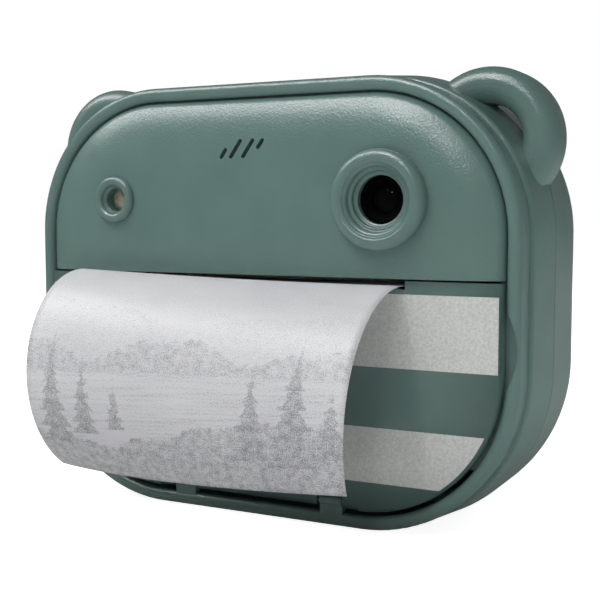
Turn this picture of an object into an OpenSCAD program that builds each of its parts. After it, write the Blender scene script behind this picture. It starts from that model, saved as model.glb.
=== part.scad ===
// Toy instant-print camera: two-shell case, domed face, hinged paper door and a thermal paper printer.
// Front faces -Y, +X is to the right seen from the front, +Z is up, the resting face is at Z = 0.

/* [Case] */
// Width inside the front rim
face_w = 85; // [84.6:0.2:86]
// Height inside the front rim
face_h = 67.4; // [67:0.2:69]
// Height of the rim's lower inner edge above the table
face_low = 2.5; // [2.4:0.1:2.7]
// Upper corner radius of the rim's inner edge
top_r = 22.5; // [21.5:0.5:24]
// Lower corner radius of the rim's inner edge
low_r = 23.4; // [22:0.2:24]
// Depth from the door's face to the back
body_d = 40; // [39:0.5:44]
// Wall thickness of the shells
wall = 1.8; // [1.6:0.1:2]
// Step from the rim's inner edge out to the wall
shoulder = 2.8; // [2.7:0.1:3]
// Extra width of the wall at the seam
draft = 0.9; // [0.6:0.05:1]
// Depth of the seam between the two shells
seam_d = 15; // [14:0.5:16]
// Edge break along the seam
seam_v = 0.3; // [0.1:0.05:0.5]
// Rounding of the back edge
back_r = 15; // [12:0.5:16]
// Radius of the rim's round bead
bead_r = 1.15; // [1:0.05:1.2]
// How far the bead stands proud of the door, below zero where it lies behind
bead_proud = -0.4; // [-0.6:0.05:0]
// Length of the bead's outer side, back to the crease
bead_side = 5; // [4:0.1:5.4]
// Depth of the solid flange behind the bead
flange_d = 3.6; // [3.2:0.1:4.5]
// Width of the ledge behind door and face panel
ledge_w = 1.5; // [1:0.1:2.5]
// Height at which the ledge ends above the hinge
ledge_z = 12; // [11:0.5:16]
// Thickness of the floor inside the case
floor_t = 1.8; // [1.4:0.1:2]
// Radius of the finger notches in the rim
notch_r = 11.2; // [9:0.2:14]
// Depth of the finger notches
notch_cut = 1.9; // [1:0.1:2.2]
// Height of the finger notches
notch_z = 30.3; // [27:0.1:33]

/* [Ears] */
// Sideways place of an ear's centre
ear_x = 36; // [35.8:0.1:36.4]
// Height of an ear's centre
ear_z = 62.4; // [62:0.1:62.8]
// Depth of an ear's centre behind the door face
ear_d = 13.8; // [13:0.1:14.5]
// Outer radius of an ear
ear_r = 11.4; // [11.2:0.1:11.8]
// Thickness of the ear's ring across
ear_t = 5.8; // [5.4:0.1:6]
// Thickness of the ear's ring front to back
ear_w = 9.2; // [8:0.1:10]

/* [Face] */
// How far the face stands proud of the door
face_proud = 1; // [0.9:0.1:1.2]
// Thickness of the face panel
face_t = 2; // [1.6:0.1:2.4]
// Width of the rolled edge of the face
roll_l = 10; // [9:0.1:10.4]
// Drop of the rolled edge
roll_h = 1.8; // [1.6:0.1:1.9]
// Rounding of the face's rim
face_round = 1.6; // [1.2:0.1:1.8]
// Gap round the face panel
face_gap = 0.2; // [0.15:0.05:0.4]
// Height of the seam between face and door
slot_z = 40.6; // [39:0.1:42]
// Width of that seam
slot_gap = 0.35; // [0.25:0.05:0.6]
// Speaker slot width
hole_w = 0.7; // [0.5:0.05:1]
// Length of the long speaker slots
hole_long = 3.7; // [3:0.1:5]
// Length of the short speaker slots
hole_short = 2; // [1.4:0.1:2.6]
// Pitch of the speaker slots
hole_pitch = 2.3; // [1.8:0.1:3]
// Lean of the speaker slots
hole_lean = 34; // [0:1:45]
// Sideways centre of the speaker
speaker_x = -1.6; // [-5:0.1:5]
// Height of the speaker
speaker_z = 61.35; // [60:0.05:62]
// Radius of the speaker
speaker_r = 4.5; // [4:0.1:4.6]

/* [Lens and flash] */
// Sideways place of the lens
lens_x = 23; // [21:0.1:24]
// Height of the lens
lens_z = 52.9; // [51:0.1:55]
// Outer radius of the lens ring
lens_r = 7.8; // [7:0.1:9]
// Height of the lens ring above the face
lens_h = 2.4; // [1.5:0.1:4]
// Radius of the black lens opening
pupil_r = 3.75; // [3:0.05:4.2]
// Radius of the lens ring's spigot in the face
spigot_r = 5.95; // [5:0.05:6.5]
// Sideways place of the flash
flash_x = -27.1; // [-28:0.1:-26]
// Height of the flash
flash_z = 53.2; // [51:0.1:55]
// Outer radius of the flash bezel
flash_r = 4; // [3.5:0.1:5]
// Height of the flash bezel above the face
flash_h = 1.1; // [0.6:0.1:1.6]
// Radius of the flash window
flash_hole_r = 2; // [1.5:0.1:2.3]

/* [Door] */
// Thickness of the paper door
door_t = 2.1; // [2:0.05:2.2]
// Gap round the door
door_gap = 0.3; // [0.3:0.05:0.5]
// Extra gap below the door for its swing
door_lift = 0.5; // [0.4:0.05:0.9]
// Rounding of the door's front edge
door_edge = 0.5; // [0.3:0.05:0.8]
// Radius of the hinge pin
pin_r = 0.45; // [0.4:0.05:0.5]
// Sideways centre of each hinge lug
lug_x = 14; // [10:0.5:15]
// Width of each hinge lug
lug_w = 4; // [3:0.5:5]
// Lower edge of the upper stripe
stripe_up_low = 26.8; // [25:0.1:28]
// Height of the upper stripe
stripe_up_h = 11.6; // [8:0.1:11.8]
// Lower edge of the lower stripe
stripe_low_low = 8.3; // [7:0.1:10]
// Height of the lower stripe
stripe_low_h = 8.9; // [6:0.1:10]
// Inset of the stripes from the door's edge
stripe_inset = 0.5; // [0.4:0.1:1.5]
// Thickness of the stripe inlays
stripe_t = 0.5; // [0.3:0.1:0.8]

/* [Paper and printer] */
// Width of the paper
paper_w = 57; // [50:0.5:58]
// Sideways centre of the paper
paper_x = -2.3; // [-3:0.1:-2]
// Thickness of the paper strip
paper_t = 0.2; // [0.15:0.05:0.3]
// Drop of the paper path below the seam
path_drop = 0.95; // [0.8:0.05:1.1]
// Curl radius of the printed strip
curl_r = 20.1; // [17:0.1:22]
// How far the curl goes past the level of its centre
curl_past = 33; // [0:1:40]
// Radius of the platen roller
platen_r = 4.4; // [4:0.1:4.6]
// Depth of the platen behind the door face
platen_d = 7.9; // [7.8:0.1:8.2]
// Radius of the platen shaft
shaft_r = 1.5; // [1.2:0.1:1.8]
// Gap between paper and platen
paper_gap = 0.25; // [0.2:0.05:0.35]
// Radius of the paper roll
roll_r = 12.6; // [11:0.2:12.8]
// Radius of the roll's core
core_r = 6; // [4:0.2:8]
// Depth of the roll's centre
roll_d = 18.5; // [18:0.1:19]
// Height of the roll's centre
roll_z = 18.9; // [18.7:0.1:19]
// Thickness of the paper bin
bin_t = 1.2; // [1:0.1:1.3]
// Gear module
gear_m = 0.5; // [0.4:0.05:0.5]
// Teeth of the platen gear
platen_n = 16; // [14:1:16]
// Teeth of the idler gear
idler_n = 24; // [20:1:26]
// Teeth of the motor pinion
pinion_n = 10; // [10:1:12]
// Width of the gears
gear_w = 2.5; // [2:0.1:2.6]
// Radius of the feed motor
motor_r = 7.5; // [6:0.1:7.6]
// Length of the feed motor
motor_l = 7.4; // [6:0.1:7.6]

/* [Back and buttons] */
// Width of the screen window
screen_w = 38; // [34:0.5:38]
// Height of the screen window
screen_h = 29; // [25:0.5:29]
// Sideways centre of the screen
screen_x = 9; // [7:0.5:9]
// Height of the screen's centre
screen_z = 40.5; // [39:0.5:41]
// Sideways centre of the arrow keys
nav_x = -21.5; // [-22:0.1:-20]
// Height of the arrow keys' centre
nav_z = 36; // [35:0.5:38]
// Distance of the arrow keys from their centre
nav_step = 6.3; // [6:0.1:7]
// Radius of the arrow keys
nav_r = 1.9; // [1.5:0.1:2.1]
// Radius of the middle key
ok_r = 2.6; // [2:0.1:2.9]
// Radius of the power and play keys
key_r = 2.6; // [2:0.1:2.8]
// Height of the power and play keys
key_z = 51; // [50:0.5:52]
// Sideways half distance between power and play
key_step = 3.8; // [3.6:0.1:4.2]
// How far the back keys stand proud
key_proud = 0.6; // [0.3:0.1:1]
// Radius of the shutter button
shutter_r = 4.2; // [3:0.1:4.2]
// Sideways place of the shutter button
shutter_x = -8; // [-9:0.5:0]
// Depth of the shutter button
shutter_d = 19.3; // [18.6:0.1:19.4]
// How far the shutter button stands proud
shutter_proud = 0.4; // [0.2:0.1:1]
// Width of the port cover
port_w = 7; // [6:0.1:7]
// Height of the port cover
port_h = 12.4; // [12.2:0.1:13]
// Lower edge of the port cover
port_z = 28.5; // [28:0.1:29]
// Thickness of the port cover
port_t = 1; // [0.8:0.05:1.1]

/* [Clearances] */
// Gap round a moving key or flap
key_gap = 0.3; // [0.25:0.05:0.4]
// Gap between pieces that are set against each other
seat_gap = 0.2; // [0.1:0.05:0.3]
// Radial clearance of running shafts and pins
run_gap = 0.05; // [0.03:0.01:0.08]
// Gap kept between pieces that move past each other
pass_gap = 0.3; // [0.3:0.05:0.4]

/* [Hidden] */
$fn = 48;

green = [0.42, 0.55, 0.51];
pale = [0.80, 0.80, 0.77];
dark = [0.10, 0.10, 0.11];
steel = [0.70, 0.71, 0.73];
board_green = [0.10, 0.32, 0.20];
paper_white = [0.90, 0.90, 0.92];
gear_white = [0.86, 0.85, 0.80];
eps = 0.01;
// Depth of the frame origin behind the door face, the middle of the resting face
origin_d = 14.5;
far = 200;

// Outline centres
half_w = face_w / 2;
face_top = face_low + face_h;
top_cx = half_w - top_r;
top_cz = face_top - top_r;
low_cx = half_w - low_r;
low_cz = face_low + low_r;
wall_in = shoulder - wall;
back_out = shoulder + draft;
fillet_s = back_out - back_r;
fillet_d = body_d - back_r;
bead_d = bead_r - bead_proud;
edge_r = 0.7;
edge_d = bead_d + bead_side;
ledge_d = door_t + pass_gap;
back_in = body_d - wall;

// Door hinge
hinge_d = door_t / 2;
hinge_z = face_low + door_gap + door_lift + door_t / 2;
lug_r = pin_r + 0.35;
door_top = slot_z - slot_gap / 2;
face_bottom = slot_z + slot_gap / 2;

// Paper path
path_z = slot_z - path_drop;
wrap_r = platen_r + paper_gap + paper_t / 2;
platen_z = path_z - wrap_r;
curl_z = path_z - curl_r;
paper_x0 = paper_x - paper_w / 2;
paper_x1 = paper_x + paper_w / 2;
slot_side = 0.6;
slot_floor = path_z - paper_t / 2 - pass_gap - 0.25;
nip_d = platen_d + wrap_r;
tail_z = platen_z - 1.5;
roll_gap = pass_gap;
bin_r = roll_r + roll_gap;
bin_side = 1.2;
bin_drop = 7;
trough_x = 25;
bin_x0 = paper_x0 - bin_side - bin_t;
bin_x1 = paper_x1 + bin_side + bin_t;
arm_t = 2;
arm_gap = 0.7;
arm_x0 = paper_x0 - arm_gap - arm_t;
arm_x1 = paper_x1 + arm_gap;
arm_r = 3.6;
bush_r = 2.5;

// Gear train, seen along X in the plane of depth and height
gear_x = arm_x1 + arm_t + 0.8;
mesh_play = 0.06;
mesh_1 = gear_m * (platen_n + idler_n) / 2 + mesh_play;
mesh_2 = gear_m * (idler_n + pinion_n) / 2 + mesh_play;
phi = -atan2(platen_d - hinge_d, platen_z - hinge_z);
psi = -55;
idler_d = platen_d + mesh_1 * cos(phi);
idler_z = platen_z + mesh_1 * sin(phi);
motor_d = idler_d + mesh_2 * cos(psi);
motor_z = idler_z + mesh_2 * sin(psi);
idler_turn = phi + 180 + 180 / idler_n;
pinion_turn = psi + 180 + 180 / pinion_n - (idler_turn - psi) * idler_n / pinion_n;
plate_x = gear_x + gear_w + pass_gap;
plate_t = 0.9;
idler_pin_r = 1;
motor_shaft_r = 0.75;
post_spots = [[motor_d + 3.5, motor_z + 11.2], [motor_d - 8.6, motor_z - 1]];

// Print head
head_d = nip_d + paper_t / 2 + pass_gap;
head_t = 1;
sink_t = 1.5;
head_low = platen_z - 1.9;
head_h = 8;
bar_d = head_d + head_t + sink_t + 3.4;
bar_t = 1.4;
bar_low = head_low + 2.4;
bin_top = bar_low + 6;

// Boards
board_back = 10.4;
board_d = body_d - board_back;
board_t = 1.4;
board_low = 44.5;
board_high = 65;
board_half = 26;
key_back = 6.4;
key_board_d = body_d - key_back;
key_board_t = 1;
key_near = 7.5;
key_off = 8.5;
key_under = 10;
key_over = 4;
peg_x = 6;
peg_low = 8;
peg_high = 3.2;
peg_r = 0.7;
battery_half = 17;
battery_t = 8;
battery_low = 45.2;
battery_high = 62.4;
battery_r = 1;
tact_h = 1.2;
plunger_h = 0.4;
flange_t = 0.6;
flange_w = 0.5;
travel = 0.6;
shutter_travel = 0.8;
lcd_t = 2.4;
window_t = 1;
screw_spots = [[39, 48], [-39, 48], [37.5, 14.5], [-37.5, 14.5]];
lip_h = 2;
lip_t = 1;
post_r = 3;
boss_r = 3.2;
bore_r = 2.4;
bore_floor = 20;
screw_r = 0.95;
stand_spots = [[-22.5, 63], [22.5, 63], [-22.5, 57.6], [22.5, 57.6]];
stand_r = 2;
nav_keys = [["nav_up", 0, 1], ["nav_down", 0, -1], ["nav_left", 1, 0], ["nav_right", -1, 0]];

// Port side
port_d = seam_d + 2;
socket_l = 8;
socket_mouth = 6;
usb_d = 0.3;
usb_t = 2.9;
usb_h = 9;
card_d = 4.7;
card_t = 1.5;
card_h = 11.4;
io_d = 3.3;
io_t = 1.3;
port_x = half_w + back_out;
pocket_x = port_x - port_t - key_gap / 2;

// Placing helpers: the depth axis starts at the door's face
module at_front() { translate([0, -origin_d, 0]) children(); }
module along_x(x0, len) { translate([x0, 0, 0]) rotate([90, 0, 90]) linear_extrude(len) children(); }
module along_y(d0, len) { translate([0, d0 + len, 0]) rotate([90, 0, 0]) linear_extrude(len) children(); }
module rod_x(x0, len, d, z, r) { translate([x0, d, z]) rotate([0, 90, 0]) cylinder(h = len, r = r); }
module rod_y(d0, len, x, z, r) { translate([x, d0, z]) rotate([-90, 0, 0]) cylinder(h = len, r = r); }
module turned_y(x, z) { translate([x, 0, z]) rotate([-90, 0, 0]) rotate_extrude() children(); }
module block(x0, x1, d0, d1, z0, z1) { translate([x0, d0, z0]) cube([x1 - x0, d1 - d0, z1 - z0]); }

// Rounded front outline, moved outwards by e, with its lower half raised by lift
module outline(e, lift = 0) {
  translate([-half_w - e, low_cz + lift]) square([2 * (half_w + e), top_cz - low_cz - lift]);
  translate([-top_cx, top_cz]) square([2 * top_cx, top_r + e]);
  translate([-low_cx, face_low - e + lift]) square([2 * low_cx, low_r + e + eps]);
  for (side = [-1, 1]) {
    translate([side * top_cx, top_cz]) circle(top_r + e);
    translate([side * low_cx, low_cz + lift]) circle(low_r + e);
  }
}
module plate(e, d0, len, lift = 0) { along_y(d0, len) outline(e, lift); }

// Section drawn as outward step and depth, swept once round the outline
module right_sweep(lift) {
  translate([half_w, 0, low_cz + lift]) linear_extrude(top_cz - low_cz - lift) children();
  translate([top_cx, 0, top_cz]) rotate([-90, 0, 0]) rotate([0, 0, -90]) rotate_extrude(angle = 90)
    translate([top_r, 0]) children();
  translate([low_cx, 0, low_cz + lift]) rotate([-90, 0, 0]) rotate_extrude(angle = 90)
    translate([low_r, 0]) children();
}
module sweep_round(lift = 0) {
  right_sweep(lift) children();
  mirror([1, 0, 0]) right_sweep(lift) children();
  translate([-top_cx, 0, face_top]) rotate([0, 90, 0]) linear_extrude(2 * top_cx) mirror([1, 0]) children();
  translate([-low_cx, 0, face_low + lift]) rotate([0, 90, 0]) linear_extrude(2 * low_cx) children();
}
module below_table() { block(-far, far, -far, far, -far, 0); }

// Sector of a ring in the plane of depth and height
module ring_sector(r_in, r_out, a0, a1) {
  mid = (a0 + a1) / 2;
  intersection() {
    difference() { circle(r_out); circle(r_in); }
    polygon([[0, 0], for (a = [a0, (a0 + mid) / 2, mid, (mid + a1) / 2, a1]) 2 * r_out * [cos(a), sin(a)]]);
  }
}

// Spur gear outline with involute flanks
function inv_deg(r, base) = let (a = acos(min(1, base / r))) tan(a) * 180 / PI - a;
function flank(r, n) = let (pitch = gear_m * n / 2, base = pitch * cos(20))
  (gear_m * PI / 2 - 0.2) / (2 * pitch) * 180 / PI + inv_deg(pitch, base) - inv_deg(max(r, base), base);
module gear_outline(n) {
  radii = [gear_m * (n / 2 - 1.2), gear_m * (n / 2 - 0.5), gear_m * n / 2, gear_m * (n / 2 + 0.9)];
  polygon([for (i = [0 : n - 1]) each concat(
    [for (r = radii) r * [cos(i * 360 / n - flank(r, n)), sin(i * 360 / n - flank(r, n))]],
    [for (k = [3 : -1 : 0]) radii[k] * [cos(i * 360 / n + flank(radii[k], n)),
      sin(i * 360 / n + flank(radii[k], n))]])]);
}

// Case sections
module front_section() {
  translate([bead_r, bead_d]) circle(bead_r);
  translate([shoulder - edge_r, edge_d]) circle(edge_r);
  polygon([[0, bead_d], [0, flange_d], [wall_in, flange_d], [wall_in, seam_d],
    [back_out - seam_v, seam_d], [back_out, seam_d - seam_v], [shoulder, edge_d],
    [shoulder - edge_r, edge_d - edge_r], [2 * bead_r, bead_d]]);
}
module back_section() {
  polygon([[wall_in, seam_d], [wall_in, fillet_d], [back_out, fillet_d],
    [back_out, seam_d + seam_v], [back_out - seam_v, seam_d]]);
  polygon([[wall_in - lip_t, seam_d - lip_h], [wall_in - 0.1, seam_d - lip_h], [wall_in - 0.1, seam_d + eps],
    [wall_in + eps, seam_d + eps], [wall_in + eps, seam_d + 2 * lip_h], [wall_in - lip_t, seam_d + lip_h]]);
  intersection() {
    translate([fillet_s, fillet_d]) difference() { circle(back_r); circle(back_r - wall); }
    translate([fillet_s, fillet_d]) square(back_r);
  }
}
module front_fill() {
  plate(-1, 1, seam_d - 1);
  sweep_round() polygon([[-1.5, 1], [-1.5, seam_d], [back_out, seam_d],
    [back_out, seam_d - seam_v], [shoulder, edge_d], [shoulder - edge_r, edge_d - edge_r]]);
}
module back_fill() {
  plate(fillet_s, seam_d, body_d - seam_d);
  sweep_round() intersection() {
    union() {
      polygon([[fillet_s - eps, seam_d], [fillet_s - eps, fillet_d], [back_out, fillet_d],
        [back_out, seam_d]]);
      translate([fillet_s, fillet_d]) circle(back_r);
    }
    translate([fillet_s - eps, seam_d]) square([far, far]);
  }
}

// Front half of the case with bead, ledge, hinge lugs and screw posts
module front_shell() {
  color(green) at_front() difference() {
    union() {
      sweep_round() front_section();
      intersection() {
        sweep_round() translate([-ledge_w, ledge_d]) square([ledge_w + 0.5, flange_d - ledge_d]);
        block(-far, far, -far, far, ledge_z, far);
      }
      block(-low_cx, low_cx, flange_d - 0.5, seam_d - lip_h - pass_gap, 0, floor_t);
      for (side = [-1, 1]) {
        rod_x(side * lug_x - lug_w / 2, lug_w, hinge_d, hinge_z, lug_r);
        block(side * lug_x - lug_w / 2, side * lug_x + lug_w / 2, hinge_d - 0.4, hinge_d + lug_r,
          face_low - 0.5, hinge_z);
      }
      for (p = screw_spots) rod_y(flange_d - 1, seam_d - flange_d + 1 - seat_gap, p[0], p[1], post_r);
    }
    below_table();
    for (p = screw_spots) rod_y(5, seam_d, p[0], p[1], screw_r + run_gap);
    rod_x(-lug_x - lug_w, 2 * (lug_x + lug_w), hinge_d, hinge_z, pin_r + run_gap);
    for (side = [-1, 1])
      rod_y(-bead_proud - 1, bead_proud + 1 + ledge_d, side * (half_w + notch_cut - notch_r), notch_z,
        notch_r);
  }
}

// Back half of the case with screen opening, key holes, port pocket and screw bosses
module back_shell() {
  color(green) at_front() difference() {
    union() {
      sweep_round() back_section();
      plate(fillet_s, back_in, wall);
      block(-low_cx, low_cx, seam_d, fillet_d + 3, 0, floor_t);
      intersection() {
        for (p = screw_spots) rod_y(seam_d, body_d, p[0], p[1], boss_r);
        back_fill();
      }
      for (p = stand_spots) rod_y(board_d + board_t, back_in - board_d - board_t + eps, p[0], p[1], stand_r);
      block(port_x * -1 + wall / 2, -pocket_x + 1.6, port_d - 1.2, port_d + port_w + 1.2, port_z - 1.5,
        port_z + port_h + 1.5);
    }
    below_table();
    for (p = screw_spots) {
      rod_y(seam_d - 2 * lip_h, 2 * lip_h, p[0], p[1], post_r + pass_gap);
      rod_y(bore_floor, body_d, p[0], p[1], bore_r);
      rod_y(seam_d - 1, body_d, p[0], p[1], screw_r + 0.2);
    }
    for (p = stand_spots) rod_y(board_d, 5, p[0], p[1], 0.8);
    along_y(body_d - window_t - seat_gap, far)
      rounded_rect(screen_w + 2 * seat_gap, screen_h + 2 * seat_gap, 3);
    along_y(back_in - 1, far) rounded_rect(screen_w - 4, screen_h - 4, 1.5);
    for (k = nav_keys)
      rod_y(back_in - 1, wall + 2, nav_x + k[1] * nav_step, nav_z + k[2] * nav_step, nav_r + key_gap);
    rod_y(back_in - 1, wall + 2, nav_x, nav_z, ok_r + key_gap);
    for (side = [-1, 1]) rod_y(back_in - 1, wall + 2, nav_x + side * key_step, key_z, key_r + key_gap);
    translate([shutter_x, shutter_d, face_top - 4]) {
      cylinder(h = 20, r = shutter_r + key_gap);
      cylinder(h = 4 + wall_in, r = shutter_r + flange_w + key_gap);
    }
    block(-far, -pocket_x, port_d - key_gap, port_d + port_w + key_gap, port_z - key_gap,
      port_z + port_h + key_gap);
    usb_shape(0.3, far);
    card_shape(0.3, far);
  }
}
module rounded_rect(w, h, r) {
  translate([screen_x - w / 2 + r, screen_z - h / 2]) square([w - 2 * r, h]);
  translate([screen_x - w / 2, screen_z - h / 2 + r]) square([w, h - 2 * r]);
  for (i = [-1, 1]) for (j = [-1, 1])
    translate([screen_x + i * (w / 2 - r), screen_z + j * (h / 2 - r)]) circle(r);
}

// Strap loops that straddle the seam at the top corners
module ear(side) {
  color(green) at_front() difference() {
    translate([0, ear_d, 0]) turned_y(side * ear_x, ear_z) translate([ear_r - ear_t / 2, 0]) {
      for (k = [-1, 1]) translate([0, k * (ear_w - ear_t) / 2]) circle(ear_t / 2);
      translate([-ear_t / 2, -(ear_w - ear_t) / 2]) square([ear_t, ear_w - ear_t]);
    }
    front_fill();
    back_fill();
  }
}
module ear_left() { ear(-1); }
module ear_right() { ear(1); }

// Domed upper face with lens seat, flash seat and speaker slots
module face_edge() {
  s0 = -face_gap - roll_l;
  arc_r = (roll_l * roll_l + roll_h * roll_h) / (2 * roll_h);
  arc_d = arc_r - face_proud;
  round_s = -face_gap - face_round;
  round_d = arc_d - sqrt(pow(arc_r - face_round, 2) - pow(round_s - s0, 2));
  reach = arc_r / (arc_r - face_round);
  meet_s = s0 + (round_s - s0) * reach;
  meet_d = arc_d + (round_d - arc_d) * reach;
  front = -face_proud - 1;
  foot = ledge_d - eps;
  intersection() {
    translate([s0, arc_d]) circle(arc_r);
    polygon([[s0 - eps, front], [meet_s, front], [meet_s, meet_d], [round_s, round_d], [round_s, foot],
      [s0 - eps, foot]]);
  }
  intersection() {
    translate([round_s, round_d]) circle(face_round);
    translate([s0, front]) square([roll_l, foot - front]);
  }
  translate([round_s - eps, round_d]) square([face_round + eps, foot - round_d]);
}
module speaker_slots() {
  for (i = [0 : 3]) {
    len = (i == 0 || i == 3) ? hole_short : hole_long;
    drop = (i == 0 ? -1 : i == 3 ? 1 : 0) * (hole_long - hole_short) / 2 * cos(hole_lean);
    translate([speaker_x + (i - 1.5) * hole_pitch, speaker_z + drop]) rotate(-hole_lean) {
      translate([-hole_w / 2, -(len - hole_w) / 2]) square([hole_w, len - hole_w]);
      for (k = [-1, 1]) translate([0, k * (len - hole_w) / 2]) circle(hole_w / 2);
    }
  }
}
module face_panel() {
  color(green) at_front() difference() {
    intersection() {
      union() {
        plate(-face_gap - roll_l, -face_proud, face_proud + ledge_d);
        sweep_round() face_edge();
      }
      block(-far, far, -far, far, face_bottom, far);
    }
    intersection() {
      plate(-ledge_w - 1.1, face_t - face_proud, far);
      block(-far, far, -far, far, face_bottom + 2.5, far);
    }
    rod_y(-5, 10, lens_x, lens_z, spigot_r + run_gap);
    rod_y(-5, 10, flash_x, flash_z, flash_r - 1 + run_gap);
    along_y(-5, 10) speaker_slots();
  }
}

// Lens group
module lens_ring() {
  f = -face_proud;
  rim = 1.4;
  color(green) at_front() turned_y(lens_x, lens_z) {
    intersection() {
      translate([lens_r - rim, f - lens_h + rim]) circle(rim);
      translate([0, f - far]) square([far, far]);
    }
    polygon([[pupil_r + 0.05, 1.4], [pupil_r + 0.05, f + 0.1], [pupil_r + 0.6, f - 0.2],
      [pupil_r + 0.7, f - 0.8], [pupil_r + 1.2, f - 1], [pupil_r + 1.3, f - lens_h * 0.6],
      [pupil_r + 1.9, f - lens_h * 0.75], [lens_r - rim, f - lens_h + 0.02], [lens_r, f - lens_h + rim],
      [lens_r, f], [spigot_r, f], [spigot_r, 1.4]]);
  }
}
module lens_barrel() {
  color(dark) at_front() turned_y(lens_x, lens_z)
    polygon([[pupil_r, 0], [pupil_r, 1.4], [spigot_r, 1.4], [spigot_r, 3], [5, 3], [5, 7], [1.6, 7],
      [1.6, 1.6], [2.2, 1.6], [2.2, 0.9], [pupil_r - 0.5, 0]]);
}
module lens_glass() {
  color([0.2, 0.22, 0.3]) at_front() turned_y(lens_x, lens_z) intersection() {
    translate([0, 4.7]) circle(4);
    translate([0, 0.5]) square([2.15, 1.1]);
  }
}
module sensor_board() {
  color(board_green) at_front() block(lens_x - 7, lens_x + 7, 7, 8.2, lens_z - 7, lens_z + 7);
}

// Flash group
module flash_bezel() {
  f = -face_proud;
  rim = 0.8;
  color(green) at_front() turned_y(flash_x, flash_z) {
    intersection() {
      translate([flash_r - rim, f - flash_h + rim]) circle(rim);
      translate([0, f - far]) square([far, far]);
    }
    polygon([[flash_hole_r, 1.4], [flash_hole_r, f + 0.2], [flash_hole_r + 0.9, f - flash_h + 0.15],
      [flash_r - rim, f - flash_h + 0.02], [flash_r, f - flash_h + rim], [flash_r, f], [flash_r - 1, f],
      [flash_r - 1, 1.4]]);
  }
}
module flash_lens() {
  color([0.9, 0.88, 0.8]) at_front() turned_y(flash_x, flash_z) intersection() {
    translate([0, 3.4]) circle(3);
    translate([0, 0.4]) square([flash_hole_r - run_gap, 1.6]);
  }
}
module flash_led() {
  color([0.95, 0.9, 0.6]) at_front() {
    block(flash_x - 3, flash_x + 3, 2.2, 3.2, flash_z - 3, flash_z + 3);
    block(flash_x - 1, flash_x + 1, 2.02, 2.3, flash_z - 1, flash_z + 1);
  }
}
module speaker() {
  d0 = face_t - face_proud + seat_gap;
  color(dark) at_front() turned_y(speaker_x, speaker_z)
    polygon([[0, d0 + 0.5], [speaker_r - 1.5, d0 + 0.5], [speaker_r - 1, d0], [speaker_r, d0],
      [speaker_r, d0 + 1.6], [speaker_r * 0.6, d0 + 2.2], [speaker_r * 0.6, d0 + 4], [0, d0 + 4]]);
}

// Paper door: round lower edge on the hinge line, recess for the paper, arms for the platen
module door_outline() { outline(-door_gap, door_lift); }
module paper_door() {
  color(green) at_front() difference() {
    union() {
      intersection() {
        union() {
          plate(-door_gap - door_edge, 0, door_t, door_lift);
          sweep_round(door_lift) {
            translate([-door_gap - door_edge, door_edge]) circle(door_edge);
            translate([-door_gap - door_edge - eps, door_edge]) square([door_edge + eps, door_t - door_edge]);
          }
        }
        difference() {
          block(-far, far, -far, far, -far, door_top);
          block(-low_cx, low_cx, -far, far, -far, hinge_z);
        }
      }
      rod_x(-low_cx, 2 * low_cx, hinge_d, hinge_z, hinge_d);
      for (x0 = [arm_x0, arm_x1]) along_x(x0, arm_t) {
        translate([platen_d, platen_z]) circle(arm_r);
        polygon([[door_t - 0.1, platen_z - 7], [door_t - 0.1, platen_z + 3.3], [platen_d, platen_z + arm_r],
          [platen_d + 2, platen_z - 2.9]]);
      }
    }
    rod_x(-low_cx, 2 * low_cx - 1, hinge_d, hinge_z, pin_r + run_gap);
    for (side = [-1, 1])
      block(side * lug_x - lug_w / 2 - pass_gap, side * lug_x + lug_w / 2 + pass_gap, -far, far, -far,
        hinge_z + lug_r + pass_gap);
    block(paper_x0 - slot_side, paper_x1 + slot_side, -far, far, slot_floor, far);
    rod_x(arm_x0 - 1, arm_x1 + arm_t - arm_x0 + 2, platen_d, platen_z, bush_r);
    stripe(stripe_up_low, stripe_up_h, 0);
    stripe(stripe_low_low, stripe_low_h, 0);
  }
}
module stripe(z0, h, gap) {
  intersection() {
    plate(-door_gap - stripe_inset - gap, -1, 1 + stripe_t, door_lift);
    block(-far, far, -far, far, z0 + gap, z0 + h - gap);
  }
}
module stripe_inlay(z0, h) {
  color(pale) at_front() difference() {
    stripe(z0, h, 0.02);
    block(-far, far, -far, 0, -far, far);
  }
}
module door_stripe_upper() { stripe_inlay(stripe_up_low, stripe_up_h); }
module door_stripe_lower() { stripe_inlay(stripe_low_low, stripe_low_h); }

// Toothed edge on the floor of the paper recess
module tear_bar() {
  pitch = 1.5;
  x0 = paper_x0 - slot_side + 0.1;
  x1 = paper_x1 + slot_side - 0.1;
  count = floor((x1 - x0) / pitch);
  color(green) at_front() along_y(0.15, 0.7)
    polygon([[x0, slot_floor], for (i = [0 : count - 1]) each [[x0 + i * pitch, slot_floor + 0.05],
      [x0 + (i + 0.5) * pitch, slot_floor + 0.3]], [x1, slot_floor + 0.05], [x1, slot_floor]]);
}
module hinge_pin() {
  len = 2 * low_cx - 3;
  color(steel) at_front() rod_x(-len / 2 - 0.5, len, hinge_d, hinge_z, pin_r);
}

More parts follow.
